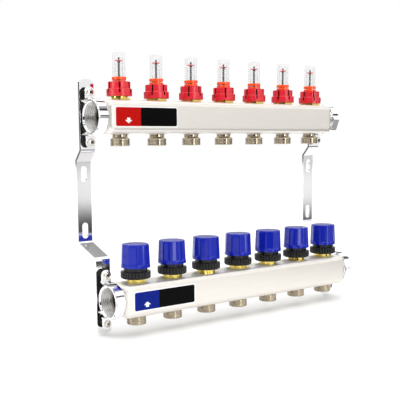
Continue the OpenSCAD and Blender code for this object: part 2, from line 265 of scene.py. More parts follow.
def maths(nodes, links, kind, *values):
    """A Math node whose inputs are numbers or other nodes' outputs."""
    node = nodes.new("ShaderNodeMath")
    node.operation = kind
    for socket, value in zip(node.inputs, values):
        if isinstance(value, (int, float)):
            socket.default_value = value
        else:
            links.new(value, socket)
    return node.outputs[0]


def noise(nodes, links, scale, stretch=(1, 1, 1), detail=4.0):
    """Noise in the object's own metres, stretched along its axes."""
    coords = nodes.new("ShaderNodeTexCoord")
    mapping = nodes.new("ShaderNodeMapping")
    mapping.inputs["Scale"].default_value = stretch
    tex = nodes.new("ShaderNodeTexNoise")
    tex.inputs["Scale"].default_value = scale
    tex.inputs["Detail"].default_value = detail
    links.new(coords.outputs["Object"], mapping.inputs["Vector"])
    links.new(mapping.outputs["Vector"], tex.inputs["Vector"])
    return tex.outputs["Fac"]


def finish(name, colour, rough, metal=0.0, vary=0.04, rough_vary=0.04, grain=900,
           stretch=(1, 1, 1), bump=0.1, bump_depth=0.02, **sockets):
    """A material with a fine grain: colour and roughness vary with it, and it has relief."""
    material = bpy.data.materials.new(name)
    material.use_nodes = True
    nodes, links = material.node_tree.nodes, material.node_tree.links
    shader = nodes["Principled BSDF"]
    shader.inputs["Metallic"].default_value = metal
    for socket, value in sockets.items():
        shader.inputs[socket.replace("_", " ")].default_value = value
    fine = noise(nodes, links, grain, stretch)
    broad = noise(nodes, links, grain / 18, stretch, 2.0)
    dark = [c * (1 - vary) for c in colour]
    light = [min(1.0, c * (1 + vary)) for c in colour]
    tint = mixed(nodes, links, spread(nodes, links, fine, 0, 1), dark, light)
    links.new(tint, shader.inputs["Base Color"])
    roughness = spread(nodes, links, broad, max(0.01, rough - rough_vary), rough + rough_vary)
    links.new(roughness, shader.inputs["Roughness"])
    relief = nodes.new("ShaderNodeBump")
    relief.inputs["Strength"].default_value = bump
    relief.inputs["Distance"].default_value = bump_depth * MM
    links.new(fine, relief.inputs["Height"])
    links.new(relief.outputs["Normal"], shader.inputs["Normal"])
    return material


def clear_plastic():
    """Clear tube wall: nearly invisible face on, pale grey along its edges."""
    material = finish("clear_plastic", (0.70, 0.72, 0.71), 0.2, vary=0.02, grain=400, bump=0.02,
                      Specular_IOR_Level=0.1)
    nodes, links = material.node_tree.nodes, material.node_tree.links
    edge = nodes.new("ShaderNodeLayerWeight")
    edge.inputs["Blend"].default_value = 0.35
    alpha = nodes.new("ShaderNodeMapRange")
    alpha.inputs["To Min"].default_value = 0.04
    alpha.inputs["To Max"].default_value = 0.5
    links.new(edge.outputs["Facing"], alpha.inputs["Value"])
    links.new(alpha.outputs["Result"], nodes["Principled BSDF"].inputs["Alpha"])
    return material


BRUSHED = finish("brushed_stainless", (0.81, 0.775, 0.72), 0.40, 0.75, 0.03, 0.05, 700, (0.04, 1, 1),
                 0.12, 0.02, Anisotropic=0.5)
CHROME = finish("chrome_plate", (0.90, 0.90, 0.91), 0.07, 1.0, 0.01, 0.02, 260, bump=0.06, bump_depth=0.03)
THREAD = finish("cut_thread", (0.56, 0.55, 0.53), 0.36, 1.0, 0.05, 0.05, 500, bump=0.04)
NICKEL = finish("nickel_plate", (0.52, 0.46, 0.36), 0.17, 1.0, 0.04, 0.04, 500, bump=0.03)
BRASS = finish("brass", (0.72, 0.57, 0.14), 0.12, 1.0, 0.04, 0.04, 600, bump=0.03)
RED = finish("red_plastic", (0.70, 0.005, 0.020), 0.32, 0, 0.04, 0.05, 1400, bump=0.05, Coat_Weight=0.4,
             Coat_Roughness=0.3)
ORANGE = finish("orange_plastic", (1.0, 0.09, 0.01), 0.18, 0, 0.05, 0.04, 500, bump=0.04,
                Coat_Weight=0.3)
BLUE = finish("blue_plastic", (0.004, 0.014, 0.34), 0.26, 0, 0.05, 0.04, 700, bump=0.04, Coat_Weight=0.6,
              Coat_Roughness=0.10, Coat_IOR=1.5, Specular_IOR_Level=0.08)
BLACK = finish("black_plastic", (0.009, 0.009, 0.010), 0.28, 0, 0.2, 0.06, 1300, bump=0.08,
               Specular_IOR_Level=0.35)
# Painted shade: a near black laid on the sunk walls and floors of the collars' slots and in the screws'
# cross recesses, where shade falls
PAINTED_RECESS_SHADE = finish("painted_recess_shade", (0.004, 0.003, 0.003), 0.6, 0, 0.2, 0.06, 1300, bump=0.08,
              Specular_IOR_Level=0.1)
SCREW = finish("screw_plate", (0.66, 0.63, 0.57), 0.20, 1.0, 0.05, 0.05, 700, bump=0.05)
RUBBER = finish("rubber", (0.02, 0.02, 0.02), 0.7, 0, 0.2, 0.08, 1600, bump=0.25)
ROD = finish("rod", (0.035, 0.035, 0.04), 0.3, 0.4, 0.15, 0.05, 900, bump=0.06)
SPRING = finish("spring_steel", (0.30, 0.29, 0.31), 0.3, 1.0, 0.08, 0.05, 900, bump=0.05)
DISC = finish("disc_red", (0.75, 0.03, 0.03), 0.3, 0, 0.05, 0.05, 900, bump=0.05)
TICK = finish("tick_grey", (0.45, 0.46, 0.47), 0.5, 0, 0.05, 0.05, 900, bump=0.05)
LABEL_WHITE = finish("label_white", (0.86, 0.86, 0.85), 0.28, 0, 0.015, 0.04, 900, bump=0.05)
LABEL_BLACK = finish("label_black", (0.001, 0.001, 0.001), 0.30, 0, 0.2, 0.05, 900, bump=0.05,
                     Specular_IOR_Level=0.05)
LABEL_RED = finish("label_red", (0.46, 0.003, 0.002), 0.28, 0, 0.04, 0.04, 900, bump=0.05,
                   Specular_IOR_Level=0.08)
LABEL_BLUE = finish("label_blue", (0.002, 0.012, 0.20), 0.28, 0, 0.04, 0.04, 900, bump=0.05,
                    Specular_IOR_Level=0.08)
CLEAR = clear_plastic()


def crowned_chrome(name, axes, reach, crown):
    """Chrome whose flat facets round a bar look a little crowned: its relief falls with the distance
    from the bar's axis, up to reach. axes are the two bars' (y, z), and all three are in metres."""
    material = CHROME.copy()
    material.name = name
    nodes, links = material.node_tree.nodes, material.node_tree.links
    calc = partial(maths, nodes, links)
    coords = nodes.new("ShaderNodeTexCoord")
    split = nodes.new("ShaderNodeSeparateXYZ")
    links.new(coords.outputs["Object"], split.inputs[0])
    distances = []
    for y, z in axes:
        across = calc("SUBTRACT", split.outputs[1], y)
        upward = calc("SUBTRACT", split.outputs[2], z)
        squares = calc("ADD", calc("MULTIPLY", across, across), calc("MULTIPLY", upward, upward))
        distances.append(calc("SQRT", squares))
    near = calc("MINIMUM", calc("MINIMUM", *distances), reach)
    crowning = nodes.new("ShaderNodeBump")
    crowning.inputs["Strength"].default_value = 1.0
    crowning.inputs["Distance"].default_value = 1.0
    links.new(calc("MULTIPLY", near, -crown), crowning.inputs["Height"])
    links.new(crowning.outputs["Normal"], nodes["Principled BSDF"].inputs["Normal"])
    return material


# ---------------------------------------------------------------- bars

def section_point(k, count, half, corner):
    """Point k of a rounded square, counted round from the middle of a side."""
    quarter, left = divmod(k, count // 4)
    steps = count // 4
    arc = steps // 2
    flat = steps - arc
    side = half - corner
    if left < flat // 2:
        y, z = half, side * left / (flat // 2)
    elif left < flat // 2 + arc:
        a = math.pi / 2 * (left - flat // 2) / arc
        y, z = side + corner * math.cos(a), side + corner * math.sin(a)
    else:
        y, z = side * (steps - left) / (steps - flat // 2 - arc), half
    for _ in range(quarter):
        y, z = -z, y
    return y, z


def drawn_rings(half, end_r, corner, x_end, sign, steps=14, count=96):
    """Rings of a drawn bar end, from the socket's neck out to the full section."""
    first = []
    for k in range(count):
        low, high = 0.3 * half, half
        for _ in range(30):
            mid = (low + high) / 2
            y, z = section_point(k, count, mid, min(corner, mid * 0.98))
            low, high = (mid, high) if math.hypot(y, z) < NECK_R - 0.4 else (low, mid)
        first.append(low)
    rings = []
    for s in range(steps + 1):
        ring = []
        for k in range(count):
            # even steps of the angle round the end's arc, from the neck to the full section
            start = math.acos(min(1, (end_r - (half - first[k])) / end_r))
            a = start * (1 - s / steps)
            h = half - end_r * (1 - math.cos(a))
            y, z = section_point(k, count, h, min(corner, h * 0.98))
            ring.append((x_end - sign * (end_r - end_r * math.sin(a)), y, z))
        rings.append(ring)
    return rings


def bar_mesh(name, length):
    """A drawn stainless bar: an outer and an inner skin, open at the two sockets."""
    reach = length / 2
    outer = drawn_rings(HALF, END_R, EDGE_R, reach, 1)
    outer += [[(-x, y, z) for x, y, z in ring] for ring in reversed(outer)]
    inner = drawn_rings(HALF - WALL, END_R - WALL, EDGE_R - WALL, reach - WALL, 1)
    inner += [[(-x, y, z) for x, y, z in ring] for ring in reversed(inner)]
    return dressed(solid(name, *loft(outer + list(reversed(inner)), closed=True)), BRUSHED)


def build_bars():
    for bar in ("supply", "return"):
        low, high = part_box(f"{bar}_bar")
        mesh = bar_mesh(f"{bar}_bar_skin", (high.x - low.x) / MM)
        piece(f"{bar}_bar_skin", mesh, (low + high) / 2, FIXED, [f"{bar}_bar"])


# ---------------------------------------------------------------- end sockets

# Share by which an octagon's flats bulge towards its corners
FACET_CROWN = 0.25


def socket_mesh():
    """An end socket along +Z from its mouth: a round nose, a cut octagon, a neck and a thread."""
    sides, apothem, corner, rim = 8, 17.0, 18.32, 18.4
    nose, octagon_end, neck_end = 0.8, 11.5, 19.5
    thread_end, pitch, mean, depth = 14.6, 2.309, 15.85, 1.25
    out = [(16.95, 0.0), (18.3, 0.0), (18.3, nose), (rim, nose + 0.15), (rim, octagon_end),
           (NECK_R, octagon_end), (NECK_R, neck_end), (14.0, neck_end), (14.0, 15.0), (mean, 15.0)]
    eased_out = eased(out, 0.35)
    bore = [(mean, z) for z in reversed(steps_between(1.3, thread_end, pitch / 8))]

    def shape(r, z, a):
        if r > 18.31 and nose < z <= octagon_end:
            flat = polygon_radius(a, sides, apothem, corner)
            return flat + FACET_CROWN * (corner - flat) + min(0, r - rim)
        if NECK_R < r <= 18.31 and z > octagon_end - 0.01:
            return min(r, polygon_radius(a, sides, apothem, corner) - 0.3)
        if abs(r - mean) < 1e-6 and 1.0 < z < thread_end + 0.1:
            fade = min(1, (z - 1.0) / 1.2, (thread_end + 0.3 - z) / 1.2)
            return mean + depth * fade * (thread_wave(z, a, pitch) - 0.45)
        return r

    mesh = dressed(solid("end_socket", *turned(eased_out + bore, 96, shape), sharp=35), CHROME, THREAD)
    for face in mesh.polygons:
        c = face.center / MM
        if math.hypot(c.x, c.y) < 16.9 and c.z > 0.9:
            face.material_index = 1
    return mesh


def weld_mesh():
    """The bead between a socket's neck and the drawn end of its bar."""
    ring = [(NECK_R - 0.3, 11.3), (NECK_R + 0.35, 11.4), (NECK_R + 0.35, 12.0), (NECK_R - 0.3, 12.7)]
    return dressed(solid("neck_bead", *turned(eased(ring, 0.3), 96)), CHROME)


def build_sockets():
    mesh, bead = socket_mesh(), weld_mesh()
    for name, bar, side in ENDS:
        spot, turn = end_spot(bar, side)
        piece(f"end_socket_{name}", mesh, spot, FIXED, [f"socket_{name}"], turn)
        piece(f"neck_bead_{name}", bead, spot, FIXED, (), turn)


# ---------------------------------------------------------------- outlets

# The threaded barrels of both rows
BARREL_R, BARREL_PITCH, BARREL_DEPTH = 11.0, 1.5, 0.6


def thread_between(r, z_top, z_low, pitch):
    """A straight profile with enough heights to carry a thread."""
    return [(r, z) for z in steps_between(z_top, z_low, pitch / 6)]


def threaded(z_top, z_low, pitch, depth, r_over):
    """A shape for turned() that cuts a flat-crested thread into what lies outside r_over."""
    def shape(r, z, a):
        if r < r_over or z > z_top + 1e-6 or z < z_low - 1e-6:
            return r
        fade = min(1, (z_top - z) / 0.5, (z - z_low) / 0.5)
        return r - depth * fade * max(0, 2 * thread_wave(z, a, pitch) - 1)
    return shape


def supply_outlet_mesh():
    """Flange, shiny neck, cone and threaded barrel, bored through."""
    z_top, z_low = -HALF - 6.1, -HALF - 12.9
    out = [(6.5, -HALF + 1.5), (8.0, -HALF + 1.5), (8.0, -HALF), (9.5, -HALF), (9.5, -HALF - 0.8),
           (8.2, -HALF - 0.95), (8.2, -HALF - 3.2), (10.95, -HALF - 5.8)]
    barrel = thread_between(BARREL_R, z_top, z_low, BARREL_PITCH)
    foot = [(10.3, -HALF - 13.5), (7.1, -HALF - 13.5), (6.5, -HALF - 12.8)]
    profile = eased(out, 0.2)[1:] + barrel + foot
    shape = threaded(z_top, z_low, BARREL_PITCH, BARREL_DEPTH, BARREL_R - 0.04)
    return dressed(solid("supply_outlet", *turned(profile, 64, shape), sharp=50), NICKEL)


def return_outlet_mesh():
    """Spigot in the bar, flange and threaded barrel, bored through."""
    z_top, z_low = -HALF - 0.9, -HALF - 9.5
    out = [(7.5, -HALF + 8.3), (9.5, -HALF + 8.3), (9.5, -HALF + 0.2), (10.9, -HALF), (10.9, -HALF - 0.7)]
    barrel = thread_between(BARREL_R, z_top, z_low, BARREL_PITCH)
    foot = [(10.3, -HALF - 10.2), (8.1, -HALF - 10.2), (7.5, -HALF - 9.5)]
    shape = threaded(z_top, z_low, BARREL_PITCH, BARREL_DEPTH, BARREL_R - 0.04)
    return dressed(solid("return_outlet", *turned(out + barrel + foot, 64, shape), sharp=50), NICKEL)


def build_outlets():
    supply, back = supply_outlet_mesh(), return_outlet_mesh()
    for n in CIRCUITS:
        piece(f"supply_outlet_{n}", supply, SUPPLY[n], FIXED, ["supply_outlets"])
        piece(f"return_outlet_{n}", back, RETURN[n], FIXED, ["return_outlets"])


# ---------------------------------------------------------------- flowmeters

TUBE_R, TUBE_BORE, TUBE_FOOT, TUBE_TOP = 7.1, 4.7, 31.0, 70.0
COLLAR_R, COLLAR_TOP_R, COLLAR_Z0, COLLAR_STEP, COLLAR_Z1 = 14.2, 12.4, 21.1, 29.0, 36.8
DISC_Z, DISC_R = 59.6, 4.4
# Turn of each collar's nearest slot, in degrees to the right of the line to the camera
SLOT_TURNS = {1: 2, 2: -19.5, 3: -11, 4: 11, 5: 16, 6: -23, 7: -35}
# Turn of the scale from that line, and of a lock ring's bridge from its collar's slot
MARKS_TURN, BRIDGE_TURN = 28, 40


def meter_body_mesh():
    """Brass hexagon under the collar, threaded post above it and spigot below."""
    hexagon = [(9.5, HALF), (12.8, HALF), (12.8, HALF + 2.3), (9.5, HALF + 2.3)]

    def six(r, z, a):
        return r if r < 10 else min(polygon_radius(a, 6, 11.1, 12.6), r)

    post = [(6.0, HALF - 5.5), (9.0, HALF - 5.5), (9.0, 31.0), (6.0, 31.0)]
    body = joined(turned(eased(hexagon, 0.35), 72, six), turned(eased(post, 0.3), 48))
    return dressed(solid("meter_body", *body, sharp=35), BRASS)


def sight_tube_mesh():
    """A thick-walled clear tube, closed by a shallow dome."""
    outside = [(TUBE_R, TUBE_FOOT), (TUBE_R, TUBE_TOP - 1.3), (TUBE_R - 0.5, TUBE_TOP - 0.4),
               (TUBE_R - 1.6, TUBE_TOP), (0.0, TUBE_TOP)]
    inside = [(0.0, TUBE_TOP - 2.6), (TUBE_BORE - 1.0, TUBE_TOP - 2.6), (TUBE_BORE, TUBE_TOP - 3.6)]
    profile = [(TUBE_BORE, TUBE_FOOT)] + outside + inside
    return dressed(solid("sight_tube", *turned(profile, 56)), CLEAR)


def scale_marks():
    """Ticks on the tube's wall, a long one every other step."""
    count, pitch, half_line, long_deg, short_deg = 8, 2.7, 0.14, 30, 18
    ticks = []
    for k in range(count):
        z = DISC_Z - 1.5 - pitch * k
        wide = long_deg if k % 2 == 0 else short_deg
        angles = [math.radians(wide * (s / 6 - 0.5)) for s in range(7)]
        outline = [(TUBE_R - 0.02, a) for a in angles] + [(TUBE_R + 0.05, a) for a in reversed(angles)]
        ticks.append(band(outline, z - half_line, z + half_line))
    return dressed(solid("scale_marks", *joined(*ticks)), TICK)


def lock_ring_mesh():
    """Two bands with a gap between them, bridged at two places."""
    r0, r1 = 7.15, 8.0
    lower = turned(eased([(r0, 37.1), (r1, 37.1), (r1, 39.3), (r0, 39.3)], 0.25), 56)
    upper = turned(eased([(r0, 40.5), (r1, 40.5), (r1, 43.6), (r0, 43.6)], 0.3), 56)
    parts = [lower, upper]
    for start in (0, math.pi):
        angles = [start + math.radians(22) * (s / 6 - 0.5) * 2 for s in range(7)]
        outline = [(r1 - 0.1, a) for a in angles] + [(r0, a) for a in reversed(angles)]
        parts.append(band(outline, 39.2, 40.6))
    return dressed(solid("lock_ring", *joined(*parts)), ORANGE)


def collar_mesh():
    """A two-tier collar with six flat ribs, each with a slot sunk in it."""
    ribs, rib_w, cut_w, cut_depth = 6, 4.4, 1.7, 1.6
    cut_z0, cut_z1 = 24.7, COLLAR_Z1
    proud = 0.22
    # across a rib, with a double point at each of its steps
    offsets = [-rib_w / 2 - 0.01, -rib_w / 2, -cut_w / 2 - 0.01, -cut_w / 2, 0.0]
    offsets += [-o for o in reversed(offsets[:-1])]
    profile = eased([(8.4, COLLAR_Z0 + 8.0), (9.6, COLLAR_Z0 + 7.0), (9.6, COLLAR_Z0),
                     (COLLAR_R, COLLAR_Z0), (COLLAR_R, COLLAR_STEP), (COLLAR_TOP_R, COLLAR_STEP + 0.2),
                     (COLLAR_TOP_R, COLLAR_Z1), (8.4, COLLAR_Z1)], 0.5)
    # the profile, with extra points where the slots begin and end
    tall = []
    for k, (r, z) in enumerate(profile):
        tall.append((r, z))
        r2, z2 = profile[(k + 1) % len(profile)]
        for cut in (cut_z0 - 0.01, cut_z0, cut_z1, cut_z1 + 0.01):
            if r > 12 and r2 > 12 and z < cut < z2:
                tall.append((r + (r2 - r) * (cut - z) / (z2 - z), cut))

    def reach(r, z, o):
        """How far out the collar stands at radius r and height z, o to the side of a rib's middle."""
        if r <= 11.5 or abs(o) > rib_w / 2:
            return math.sqrt(max(r * r - o * o, 0))
        in_slot = abs(o) <= cut_w / 2 and cut_z0 - 1e-6 < z < cut_z1 + 1e-6
        return r - 0.2 + proud - (cut_depth if in_slot else 0)

    rings = []
    for r, z in tall:
        ring = []
        for rib in range(ribs):
            base = 2 * math.pi * rib / ribs
            for o in offsets:
                out, c, s = reach(r, z, o), math.cos(base), math.sin(base)
                ring.append((out * c - o * s, out * s + o * c, z))
            edge = math.asin(min(1, (rib_w / 2 + 0.01) / r))
            for k in range(1, 8):
                a = base + edge + (2 * math.pi / ribs - 2 * edge) * k / 8
                ring.append((r * math.cos(a), r * math.sin(a), z))
        rings.append(ring)
    mesh = dressed(solid("collar", *loft(rings, closed=True), sharp=32), RED, PAINTED_RECESS_SHADE)
    # painted shade: the faces sunk inside each slot take the near-black material, as if shade fell in them
    for face in mesh.polygons:
        c = face.center / MM
        surface = COLLAR_R if c.z < COLLAR_STEP else COLLAR_TOP_R
        depth = surface - math.hypot(c.x, c.y)
        if c.z > cut_z0 and 0.45 < depth < cut_depth + 0.2 and abs(face.normal.z) < 0.5:
            face.material_index = 1
    return mesh


def indicator_mesh():
    """A dark rod with a red disc and a flow disc at its foot."""
    rod = turned(eased([(0.0, 4.0), (0.95, 4.0), (0.95, 65.0), (0.0, 65.0)], 0.3), 20)
    foot = turned(eased([(0.0, 4.0), (5.0, 4.0), (5.0, 6.0), (0.0, 6.0)], 0.4), 40)
    low, high = DISC_Z + 1.2, DISC_Z + 2.2
    disc = turned(eased([(0.9, low), (DISC_R, low), (DISC_R, high), (0.9, high)], 0.3), 48)
    hub = turned(eased([(0.9, DISC_Z), (1.7, DISC_Z), (1.7, low), (0.9, low)], 0.2), 24)
    mesh = solid("indicator", *joined(rod, foot, disc, hub))
    dressed(mesh, ROD, DISC)
    for face in mesh.polygons:
        c = face.center / MM
        if low - 0.05 <= c.z <= high + 0.1 and math.hypot(c.x, c.y) > 0.96:
            face.material_index = 1
    return mesh


def spring_mesh():
    """A helical return spring round the rod."""
    low, high, turns, coil_r, wire = TUBE_FOOT + 0.35, DISC_Z - 0.35, 13, 1.42, 0.33
    per_turn = 16
    points = []
    for k in range(turns * per_turn + 1):
        a = 2 * math.pi * k / per_turn
        z = low + (high - low) * k / (turns * per_turn)
        points.append((coil_r * math.cos(a), coil_r * math.sin(a), z))
    return dressed(solid("meter_spring", *tube_along(points, wire)), SPRING)


def towards_camera(spot):
    """The angle, seen from above, of the line from a place to the camera."""
    line = CAMERA_AT - spot
    return math.atan2(line.y, line.x)


def build_flowmeters():
    body, tube, ring, marks = meter_body_mesh(), sight_tube_mesh(), lock_ring_mesh(), scale_marks()
    collar, indicator, spring = collar_mesh(), indicator_mesh(), spring_mesh()
    for n in CIRCUITS:
        at = SUPPLY[n]
        facing = towards_camera(at)
        turn = Matrix.Rotation(facing + math.radians(SLOT_TURNS[n]), 4, "Z")
        marks_turn = Matrix.Rotation(facing + math.radians(MARKS_TURN), 4, "Z")
        bridge_turn = Matrix.Rotation(facing + math.radians(SLOT_TURNS[n] + BRIDGE_TURN), 4, "Z")
        piece(f"meter_body_{n}", body, at, FIXED, ["meter_bodies"])
        piece(f"sight_tube_{n}", tube, at, FIXED, ["sight_tubes"])
        piece(f"scale_marks_{n}", marks, at, FIXED, (), marks_turn)
        piece(f"lock_ring_{n}", ring, at, FIXED, ["lock_rings"], bridge_turn)
        # a collar stands as high as its CAD node, which may be screwed up a little
        lift = Vector((0, 0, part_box(f"collar_{n}")[0].z - at.z - COLLAR_Z0 * MM))
        piece(f"setting_collar_{n}", collar, at + lift, f"collar_{n}", [f"collar_{n}"], turn)
        moving = f"indicator_{n}"
        piece(f"flow_indicator_{n}", indicator, at, moving, [moving])
        coil = piece(f"meter_spring_{n}", spring, at, FIXED, [f"spring_{n}"])
        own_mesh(coil)


# ---------------------------------------------------------------- valves

CAP_R, CAP_TOP_R, CAP_Z0, CAP_Z1 = 16.4, 15.3, 35.2, 61.5
FLUTES = 10
# Turns of each insert's hexagon and of each cap, in degrees
HEX_TURNS = {1: 8, 2: 22, 3: 40, 4: 12, 5: 30, 6: 50, 7: 5}
CAP_TURNS = {1: 6, 2: -2, 3: 14, 4: 9, 5: -8, 6: 3, 7: -14}


def insert_mesh():
    """Brass valve insert: a chamfered hexagon on the bar and a stem guide above it."""
    hexagon = [(8.0, HALF), (11.3, HALF), (11.3, HALF + 4.4), (8.0, HALF + 4.4)]

    def six(r, z, a):
        return r if r < 9 else min(polygon_radius(a, 6, 9.786, 11.15), r)

    guide = [(2.1, HALF - 5.5), (10.0, HALF - 5.5), (10.0, HALF), (10.4, HALF + 4.3), (10.4, 30.4),
             (2.1, 30.4)]
    body = joined(turned(eased(hexagon, 0.5), 72, six), turned(eased(guide, 0.2), 48))
    return dressed(solid("valve_insert", *body, sharp=35), BRASS)


def ring_nut_mesh():
    """A toothed plastic ring nut with a rounded lower edge."""
    teeth, depth, outer, low, high = 28, 1.35, 16.8, HALF + 4.4, 30.9
    profile = [(10.7, low), (15.0, low), (15.9, low + 0.35), (16.5, low + 1.0), (outer, low + 1.9),
               (outer, high - 0.5), (outer - 0.15, high - 0.15), (outer - 0.5, high), (10.7, high)]
    # share of a tooth's height at each step round it
    crest = [1, 1, 1, 1, 0.72, 0.1, 0.1, 0.72]
    per_tooth = len(crest)

    def shape(r, z, a):
        k = round(a / (2 * math.pi) * teeth * per_tooth) % per_tooth
        return r if r < 14 else r - depth * (1 - crest[k])

    return dressed(solid("ring_nut", *turned(profile, teeth * per_tooth, shape), sharp=50), BLACK)


def neck_mesh():
    """The plain neck between a ring nut and its cap."""
    rim = [(8.0, 30.9), (13.2, 30.9), (13.2, 38.0), (8.0, 38.0)]
    return dressed(solid("cap_neck", *turned(eased(rim, 0.3), 56)), BLACK)


def cap_mesh():
    """A tapered hand cap with broad flutes that run out at the top, and a hollow under it."""
    z_side = CAP_Z1 - 1.3
    flute_z0, flute_depth, flute_share = CAP_Z0 + 3.2, 0.75, 0.80
    side = [CAP_Z0 + 0.5] + steps_between(flute_z0 - 0.6, flute_z0 + 1.8, 0.4)
    side += steps_between(flute_z0 + 4, z_side, 3)
    profile = [(13.6, CAP_Z0), (CAP_R - 0.35, CAP_Z0), (CAP_R - 0.1, CAP_Z0 + 0.12)]
    profile += [(CAP_R + (CAP_TOP_R - CAP_R) * (z - CAP_Z0) / (z_side - CAP_Z0), z) for z in side]
    # the rounded rim and the top, then the boss and the hollow under it
    profile += [(CAP_TOP_R - 0.12, z_side + 0.35), (CAP_TOP_R - 0.5, z_side + 0.75),
                (CAP_TOP_R - 1.2, z_side + 1.05), (CAP_TOP_R - 2.6, CAP_Z1 - 0.1), (7.0, CAP_Z1 - 0.02),
                (0.0, CAP_Z1)]
    profile += [(0.0, 45.0), (5.0, 45.0), (5.0, CAP_Z1 - 3.0), (13.0, CAP_Z1 - 3.0), (13.0, 41.5),
                (13.9, 40.6), (13.9, CAP_Z0 + 0.4)]
    period = 2 * math.pi / FLUTES

    def shape(r, z, a):
        if r < CAP_TOP_R - 0.8 or z < flute_z0:
            return r
        across = abs((a % period) / period - 0.5) * 2
        if across > flute_share:
            return r
        rise = min(1, (z - flute_z0) / 1.6)
        return r - flute_depth * math.sqrt(rise) * math.cos(across / flute_share * math.pi / 2) ** 0.8

    return dressed(solid("hand_cap", *turned(profile, FLUTES * 20, shape), sharp=50), BLUE)


def build_valves():
    insert, nut, neck, cap = insert_mesh(), ring_nut_mesh(), neck_mesh(), cap_mesh()
    for n in CIRCUITS:
        at = RETURN[n]
        hex_turn = Matrix.Rotation(math.radians(HEX_TURNS[n]), 4, "Z")
        cap_turn = Matrix.Rotation(towards_camera(at) + math.radians(CAP_TURNS[n]), 4, "Z")
        piece(f"valve_insert_{n}", insert, at, FIXED, ["valve_inserts"], hex_turn)
        piece(f"ring_nut_{n}", nut, at, FIXED, ["ring_nuts"], hex_turn)
        piece(f"cap_neck_{n}", neck, at, FIXED, ["cap_necks"])
        piece(f"hand_cap_{n}", cap, at, f"cap_{n}", [f"cap_{n}"], cap_turn)


# ---------------------------------------------------------------- brackets and clamps

# From a bar's axis, back to the front of a strap's flat ends, and up and down to its screws
STRAP_FRONT, SCREW_OFF = 13.0, 27.3
# Reach of the straps' crown round a bar's axis, and its slope
STRAP_REACH, STRAP_CROWN = 21, 0.32


def screw_mesh():
    """A pan-head screw along +Z from the strap, with a cross recess, and its shank behind."""
    head = [(0.0, 1.05), (0.65, 1.05), (2.2, 2.45), (3.0, 2.25), (3.9, 1.6), (4.3, 0.7), (4.3, 0.0),
            (2.5, 0.0), (2.5, -13.8), (0.0, -13.8)]
    period = math.pi / 2

    def shape(r, z, a):
        if not 0.9 < z < 2.5 or r > 2.25:
            return r
        across = abs(((a + period / 2) % period) - period / 2)
        arm = 0.55 / max(math.sin(across), 1e-3)
        return r if across < math.radians(12) or r < 0.7 else min(r, max(arm, 0.7))

    mesh = dressed(solid("pan_screw", *turned(head, 64, shape), sharp=35), SCREW, PAINTED_RECESS_SHADE)
    # painted shade: the faces of the cross recess take the near-black material, as if shade fell in it
    for face in mesh.polygons:
        c = face.center / MM
        if 0.8 < c.z < 2.3 and math.hypot(c.x, c.y) < 2.2:
            face.material_index = 1
    return mesh


def build_screws():
    """Two screws to each strap, through the bracket, with their heads to the room."""
    mesh = screw_mesh()
    forward = Matrix.Rotation(math.radians(90), 4, "X")
    twist = Matrix.Rotation(math.radians(45), 4, "Z")
    count = 0
    for bar, axis in (("supply", SUPPLY[1]), ("return", RETURN[1])):
        for bracket in ("bracket_left", "bracket_right"):
            x = middle(bracket).x
            for side in (-1, 1):
                count += 1
                at = Vector((x, axis.y + STRAP_FRONT * MM, axis.z + side * SCREW_OFF * MM))
                piece(f"clamp_screw_{count}", mesh, at, FIXED, ["clamp_screws"], forward @ twist)


def finish_cad(node, material, width):
    """A CAD node that keeps its shape, with edges rounded by width and a material of its own."""
    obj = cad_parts[node]
    obj.data.materials.clear()
    obj.data.materials.append(material)
    weld = obj.modifiers.new("weld", "WELD")
    weld.merge_threshold = 2e-6
    if width:
        flat = obj.modifiers.new("flat_faces", "DECIMATE")
        flat.decimate_type = "DISSOLVE"
        flat.angle_limit = math.radians(0.5)
        bevel = obj.modifiers.new("edges", "BEVEL")
        bevel.width = width * MM
        bevel.segments = 2
        bevel.limit_method = "ANGLE"
        bevel.angle_limit = math.radians(40)
        bevel.use_clamp_overlap = True
        bevel.harden_normals = True


def build_brackets():
    finish_cad("bracket_left", CHROME, 0.35)
    finish_cad("bracket_right", CHROME, 0.35)
    axes = [(middle(bar).y, middle(bar).z) for bar in ("supply_bar", "return_bar")]
    strap_chrome = crowned_chrome("strap_chrome", axes, STRAP_REACH * MM, STRAP_CROWN)
    finish_cad("clamp_straps", strap_chrome, 0.2)
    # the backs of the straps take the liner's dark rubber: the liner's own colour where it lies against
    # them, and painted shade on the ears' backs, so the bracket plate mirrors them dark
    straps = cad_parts["clamp_straps"].data
    straps.materials.append(RUBBER)
    for face in straps.polygons:
        if face.normal.y > 0.8:
            face.material_index = 1
    finish_cad("clamp_nuts", CHROME, 0.3)
    finish_cad("clamp_liners", RUBBER, 0)
    for n in CIRCUITS:
        finish_cad(f"stem_{n}", BRASS, 0.2)


# ---------------------------------------------------------------- labels

def rounded_outline(w, h, r, steps=6):
    """A rectangle in X and Z with its corners rounded by r."""
    points = []
    for k, (sx, sz) in enumerate(((1, 1), (-1, 1), (-1, -1), (1, -1))):
        for s in range(steps + 1):
            a = math.pi / 2 * (k + s / steps)
            points.append((sx * (w / 2 - r) + r * math.cos(a), sz * (h / 2 - r) + r * math.sin(a)))
    return points


def field(points, y0, y1):
    """A thin slab between two depths over an outline in X and Z."""
    return loft([[(x, y, z) for x, z in points] for y in (y0, y1)])


